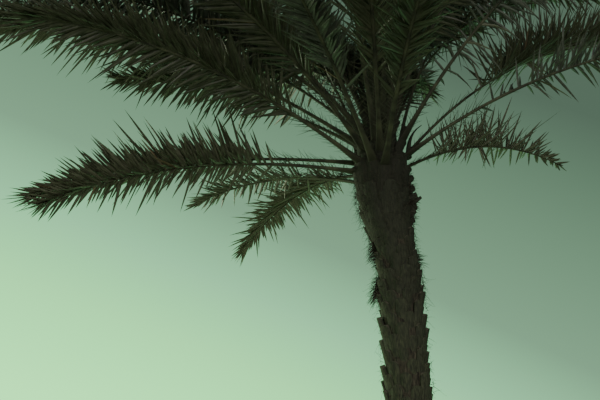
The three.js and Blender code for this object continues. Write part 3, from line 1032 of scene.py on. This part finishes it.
def spines_of(frond, index, draw):
    """Corners of the spines along a frond's stalk."""
    count = 2 * SPINES_A_SIDE
    run = np.linspace(*SPINE_RUN, count) + draw.normal(0, SPINE_CHANCE, count)
    shares = np.clip(run * frond.leafy, *SPINE_LIMITS)
    hand = np.where(np.arange(count) % 2, 1, -1)
    place, forward, side, upper = line_of(frond, index, shares)
    half_width, _ = stalk_sizes(frond, shares)
    sweep = draw.uniform(*SPINE_SWEEPS, count)
    raised = draw.uniform(*SPINE_RAISES, count)
    way = ways_out(forward, side, upper, hand, sweep, raised)
    base = place + (hand * half_width * SPINE_SEAT)[:, None] * side
    length = lerp(SPINE_LENGTHS, run) * draw.uniform(*SPINE_VARIETY, count)
    radius = (SPINE_RADIUS * lerp(SPINE_RADII, run))[:, None]
    flat = unit(np.cross(way, upper))
    return laid(SPINE, base, length[:, None] * way, radius * flat, radius * np.cross(flat, way))


SPINE = cone_template(4, SPINE_TIP)
draw = np.random.default_rng(SPINE_SEED)
spines = np.concatenate([spines_of(frond, index, draw) for index, frond in enumerate(FRONDS)])
joined("stalk_spines", SPINE, spines, [STALK], nodes=FROND_NODES)

# %% [markdown]
# The living leaflets are stiff, waxy and grey-green. No two fronds have quite the same colour:
# the oldest are more olive, the ones in their prime deeper green, some bluish with wax, and a few
# faded. One frond is painted pale, as painted sunlight. So six plain colours are dealt out frond
# by frond, each with a fine drift of its own. Their wax gives the eye a soft, wide sheen, so they
# are about half rough. Single dead leaflets have lost it, and are straw-coloured.

# %% Materials of the leaflets
LEAF_SPECULAR = 0.2
DRIFTS_TO_THE_METRE = 14


def leaflet_material(name, low, high, roughness):
    """Waxy leaf between two near colours."""
    material, tree, place = started(name)
    drift = clouded(tree, place, scale=DRIFTS_TO_THE_METRE, detail=2)
    colour = toned(tree, drift, [(0.3, low), (0.7, high)])
    finish_with(tree, specular=LEAF_SPECULAR, base_color=colour, roughness=roughness)
    return material


LEAFLET_COLOURS = {
    "olive": leaflet_material("old olive palm leaflet", "#3e4230", "#525742", 0.5),
    "green": leaflet_material("prime green palm leaflet", "#313625", "#444934", 0.45),
    "deep": leaflet_material("deep green inner palm leaflet", "#2b3021", "#3d422f", 0.45),
    "waxy": leaflet_material("bluish waxy palm leaflet", "#33382e", "#474f40", 0.5),
    "faded": leaflet_material("faded olive palm leaflet", "#444836", "#5b604a", 0.55),
    # The pale colour is painted sunlight: a lighter copy of the leaflet colour for a sunlit frond.
    "pale": leaflet_material("sunlit pale palm leaflet", "#50553f", "#686d55", 0.55),
    "dry": leaflet_material("dry palm leaflet", "#4d4530", "#675e46", 0.8),
}
print(len(LEAFLET_COLOURS), "leaflet materials:", ", ".join(LEAFLET_COLOURS))

# %% [markdown]
# A leaflet is a long narrow blade folded along its keel like a paper dart, with the fold
# pointing down. It starts as a four-sided cone: two of its corners become the edges and the
# other two the upper and lower side of the keel. Cuts across it let the blade widen, narrow to
# its hard point and bend under its own weight.

# %% The leaflet's shape
LEAFLET_STATIONS = (0.1, 0.42, 0.76)
LEAFLET_HALF_WIDTH = 0.016
LEAFLET_FOLD = 0.36
LEAFLET_THICKNESS = 0.08
LEAFLET_FOOT = 0.6
LEAFLET_WIDENING = 3
LEAFLET_WIDEST = 0.3
LEAFLET_NARROWING = 0.6


def leaflet_width(share):
    """A leaflet's half width at a share of its length, as a share of the widest."""
    widened = min(1, LEAFLET_FOOT + LEAFLET_WIDENING * share)
    past = max(0, share - LEAFLET_WIDEST) / (1 - LEAFLET_WIDEST)
    return widened * (1 - past) ** LEAFLET_NARROWING


def leaflet_template():
    """A folded blade along z from 0 to 1: x is its half width, y its upper side."""
    form = cone_template(4, 0, LEAFLET_STATIONS)
    for corner in form.verts:
        share = corner.co.z
        if share < NEAR_ONE:
            way = corner.co.xy / (1 - share)
            keel = -LEAFLET_FOLD * (1 - abs(way.x))
            width = leaflet_width(share)
            corner.co = (way.x * width, (keel + LEAFLET_THICKNESS * way.y) * width, share)
    return form


def blades(base, way, length, across, over, droop):
    """Corners of leaflets that leave their bases one way and droop along their run."""
    corners = laid(LEAFLET, base, length[:, None] * way, across, over)
    corners[..., 2] -= (droop * length)[:, None] * corners_of(LEAFLET)[:, 2] ** 2
    return corners


LEAFLET = leaflet_template()
print(len(LEAFLET.verts), "corners and", len(LEAFLET.faces), "faces in a leaflet")

# %% [markdown]
# Leaflets stand in little groups of four along both sides of the midrib, each of a group at its
# own slant, so that the frond looks plumed and not flat. They lean forward, more so near the tip,
# where they are also shorter. Near the foot of the blade they stand thinner. Chance moves each
# group as a whole, and then each leaflet a little on its own.

# %% The leaflets of a frond
GROUP_SPACING = 0.062
GROUP_RAISES = np.array([54, 26, 0, -26])
GROUP_WIDTH = 0.55
GROUP_START = 0.2
GROUP_CHANCE, PLACE_CHANCE = 0.15, 0.05
LEAFLET_SWEEPS = (68, 26)
SWEEP_POWER = 4
GROUP_SWEEP, GROUP_RAISE, GROUP_GROWTH = 4, 7, 0.1
OWN_SWEEP, OWN_RAISE, OWN_ROLL = 4, 6, 0.35
LONGEST_AT = 0.4
FIRST_SHARE = 0.85
THINNED = 0.88
LEAFLET_VARIETY = (0.62, 1.15)
VARIETY_POWER = 2.5
LEAFLET_SEAT = 0.7
DROOPS = (0.3, 1.5)
WIDTHS = (0.85, 1.15)
LEAFLET_SEED = 5


def leaflet_swell(run, last):
    """A leaflet's length as a share of the longest, at a share of the blade."""
    rising = lerp((FIRST_SHARE, 1), np.clip(run / LONGEST_AT, 0, 1))
    return rising * lerp((1, last), smoothstep(run, LONGEST_AT, 1))


def leaflet_stands(frond, draw):
    """Each leaflet's side, rank in its group, share of the blade, and chances of its group."""
    size = len(GROUP_RAISES)
    blade = frond.length * (1 - frond.leafy)
    groups = round(blade / GROUP_SPACING * max(1, frond.dense))
    count = 2 * groups * size
    order = np.arange(count)
    bundle, rank = order // size, order % size
    hand = np.where(bundle < groups, 1, -1)
    start = bundle % groups + draw.normal(0, GROUP_CHANCE, 2 * groups)[bundle]
    own = GROUP_WIDTH * rank / size + draw.normal(0, PLACE_CHANCE, count)
    run = np.clip((start + own + GROUP_START) / groups, 0, 1)
    thin = 1 - smoothstep(lerp((frond.leafy, 1), run), frond.leafy, frond.full)
    kept = draw.random(count) > 1 - min(1, frond.dense) * (1 - THINNED * thin)
    chances = draw.normal(0, 1, (3, 2 * groups))[:, bundle[kept]]
    return hand[kept], rank[kept], run[kept], chances


def rolled(forward, way, hand, roll):
    """A blade's way across and its upper side, once it is rolled about its own length."""
    across = unit(forward - (forward * way).sum(-1, keepdims=True) * way)
    over = hand[:, None] * np.cross(across, way)
    turned = np.cos(roll)[:, None] * across + np.sin(roll)[:, None] * over
    return turned, hand[:, None] * np.cross(turned, way)


def leaflets_of(frond, index):
    """Corners of every leaflet of a frond, as an array of leaflet by corner by place."""
    draw = np.random.default_rng([LEAFLET_SEED, index])
    hand, rank, run, (swept, lifted, grown) = leaflet_stands(frond, draw)
    count = len(run)
    shares = lerp((frond.leafy, 1), run)
    place, forward, side, upper = line_of(frond, index, shares)
    sweep = lerp(LEAFLET_SWEEPS, run**SWEEP_POWER) - frond.lean + GROUP_SWEEP * swept
    sweep = sweep + draw.normal(0, OWN_SWEEP, count)
    raised = GROUP_RAISES[rank] + frond.lift + GROUP_RAISE * lifted
    raised = raised + draw.normal(0, OWN_RAISE, count)
    way = ways_out(forward, side, upper, hand, sweep, raised)
    length = frond.leaflet * leaflet_swell(run, frond.last) * (1 + GROUP_GROWTH * grown)
    length = length * lerp(LEAFLET_VARIETY, draw.random(count) ** VARIETY_POWER)
    across, over = rolled(forward, way, hand, draw.normal(0, OWN_ROLL, count))
    half_width, _ = stalk_sizes(frond, shares)
    base = place + (hand * half_width * LEAFLET_SEAT)[:, None] * side
    droop = frond.droop * draw.uniform(*DROOPS, count)
    wide = LEAFLET_HALF_WIDTH * draw.uniform(*WIDTHS, count)[:, None]
    return blades(base, way, length, wide * across, wide * over, droop)


print(len(leaflets_of(FRONDS[0], 0)), "leaflets on the first frond")

# %% [markdown]
# Some old leaflets are broken or have wilted. Chance could scatter them over the crown, but not
# put them where the picture shows them hanging out of a blade's outline. So they are set one by
# one, each at its share of a frond, with its own way and length.

# %% Hanging leaflets
HANGING = [
    # the frond's index, share of it, way, length, droop and how many lie together
    (15, 0.5, (0.15, -0.1, -1), 0.36, 0.1, 6),
    (15, 0.42, (-0.3, 0, -0.6), 0.24, 0.2, 3),
    (15, 0.34, (-0.5, -0.1, -0.5), 0.24, 0.2, 3),
    (13, 0.42, (0.75, 0.1, -0.25), 0.42, 0.25, 2),
    (13, 0.6, (0.6, 0, -0.5), 0.3, 0.3, 3),
    (12, 0.62, (0.7, 0, -0.6), 0.36, 0.2, 3),
    (10, 0.36, (0.8, 0, 0.1), 0.4, 0.75, 1),
    (10, 0.44, (0.85, 0, 0.15), 0.46, 0.75, 2),
    (10, 0.52, (0.9, 0, 0.1), 0.5, 0.75, 1),
    (10, 0.6, (0.9, 0, 0), 0.54, 0.7, 2),
    (4, 0.3, (-0.3, -0.1, -0.5), 0.2, 0.3, 3),
]
HANGING_SEED = 53
HANGING_LENGTHS = (0.7, 1)
SHARE_CHANCE, WAY_CHANCE = 0.012, 0.09


def hanging_leaflets():
    """Corners of the leaflets that hang out of their blades."""
    draw = np.random.default_rng(HANGING_SEED)
    made = []
    for index, share, way, length, droop, together in HANGING:
        shares = np.clip(share + draw.normal(0, SHARE_CHANCE, together), 0, 1)
        place, _, _, _ = line_of(FRONDS[index], index, shares)
        way = unit(np.array(way) + draw.normal(0, WAY_CHANCE, (together, 3)))
        flat = unit(np.cross(way, draw.normal(0, 1, (together, 3))))
        across, over = LEAFLET_HALF_WIDTH * flat, LEAFLET_HALF_WIDTH * np.cross(way, flat)
        long = length * draw.uniform(*HANGING_LENGTHS, together)
        made.append(blades(place, way, long, across, over, droop))
    return np.concatenate(made)


joined("leaflets_hanging", LEAFLET, hanging_leaflets(), [LEAFLET_COLOURS["olive"]],
       nodes=sorted({FROND_NODES[row[0]] for row in HANGING}))

# %% [markdown]
# Now every leaflet of the crown is laid out, frond by frond. An object for each of them would be
# slow to draw and to export, so those of one colour become one piece.

# %% All the leaflets
# The fourth set frond wears the pale colour, which is painted sunlight on it.
SET_COLOURS = [
    "olive", "olive", "olive", "pale", "olive", "faded", "waxy", "green",
    "green", "waxy", "waxy", "deep", "green", "waxy", "green", "olive",
]
GROWN_COLOURS = ["green", "deep", "waxy", "olive", "deep"]
DRY_SHARE = 0.004


def colour_of(index):
    """Which plain colour a frond's leaflets have."""
    if index < len(SET_COLOURS):
        return SET_COLOURS[index]
    return GROWN_COLOURS[index % len(GROWN_COLOURS)]


by_colour = {name: [] for name in LEAFLET_COLOURS}
members = {name: set() for name in LEAFLET_COLOURS}
draw = np.random.default_rng(LEAFLET_SEED)
for index, frond in enumerate(FRONDS):
    corners = leaflets_of(frond, index)
    dead = draw.random(len(corners)) < DRY_SHARE
    for name, chosen in ((colour_of(index), ~dead), ("dry", dead)):
        by_colour[name].append(corners[chosen])
        members[name].add(FROND_NODES[index])
print(sum(len(part) for parts in by_colour.values() for part in parts), "leaflets in all")
for name, parts in by_colour.items():
    joined(f"leaflets_{name}", LEAFLET, np.concatenate(parts), [LEAFLET_COLOURS[name]],
           nodes=sorted(members[name]))

# %% [markdown]
# In the middle of the crown stands the youngest leaf, still folded shut into a pleated spear. Its
# leaflets could be modelled one by one, but from below little more than its outline shows. So it
# is the rod template once more, with every other side of it sunk into a pleat.

# %% The spear leaf
SPEAR_WIDTHS = (0.075, 0.012)
PLEATS = 9
PLEAT_DEPTH = 0.16
SPEAR_SIDES = 2 * PLEATS
SPEAR_RINGS = 20

spear_rod = rod_template(SPEAR_SIDES, SPEAR_RINGS)
x, y, share = corners_of(spear_rod).T
place, _, side, upper = line_of(SPEAR, 0, share)
pleat = 1 - PLEAT_DEPTH * (np.round(np.arctan2(y, x) / math.tau * SPEAR_SIDES) % 2)
radius = lerp(SPEAR_WIDTHS, share) / 2 * pleat
spear = place + (x * radius)[:, None] * side + (y * radius)[:, None] * upper
joined("spear_leaf_folded", spear_rod, spear[None], [LEAFLET_COLOURS["green"]],
       nodes=["spear_leaf"])
